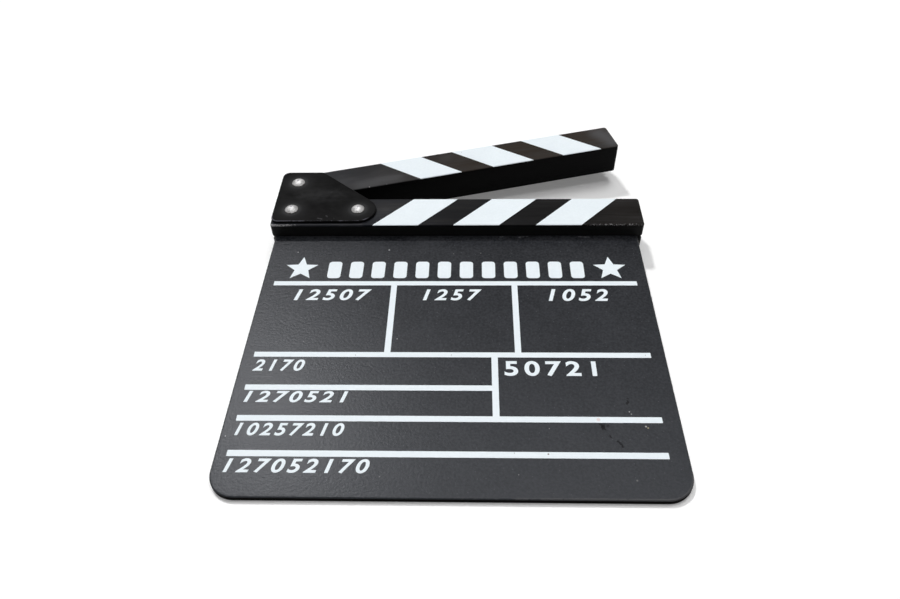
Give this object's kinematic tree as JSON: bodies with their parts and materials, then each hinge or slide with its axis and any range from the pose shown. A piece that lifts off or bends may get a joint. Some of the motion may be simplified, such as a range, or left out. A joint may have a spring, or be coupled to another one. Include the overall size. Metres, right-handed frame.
{
  "type": "clapperboard",
  "caption": "Small wooden film clapperboard lying on its back: coated slate, a striped lower stick on it, and a striped upper stick that swings on a riveted hinge.",
  "frame": {"origin": "middle of the slate's bottom edge, at half the slate's thickness", "axes": "+X along the sticks, away from the hinge; +Y up the slate, from its bottom edge to the sticks; +Z out of the slate's front face, which is up when the board lies on its back"},
  "size_m": [0.205, 0.2545, 0.0258],
  "materials": {
    "slate_coat": "matt dark grey chalkboard coat on hardboard",
    "stick_paint": "satin black paint on wood, faint grain, rubbed edges",
    "white_print": "flat white printing ink on the painted wood",
    "plate_enamel": "satin black enamel on sheet steel",
    "rivet_nickel": "bright nickel-plated steel",
    "washer_nylon": "natural nylon"
  },
  "bodies": {
    "slate": {"slate_board": "slate_coat", "lower_clapstick": "stick_paint", "front_hinge_plate": "plate_enamel", "rear_hinge_plate": "plate_enamel", "pivot_rivet": "rivet_nickel", "heel_rivet": "rivet_nickel", "toe_rivet": "rivet_nickel", "front_pivot_washer": "washer_nylon", "rear_pivot_washer": "washer_nylon"},
    "clapper": {"upper_clapstick": "stick_paint"}
  },
  "joints": [
    {"name": "clap", "type": "hinge", "parent": "slate", "child": "clapper", "pos_m": [-0.0916, 0.1953, 0], "axis": [0, 0, 1], "range_deg": [-15.2, 75]}
  ]
}
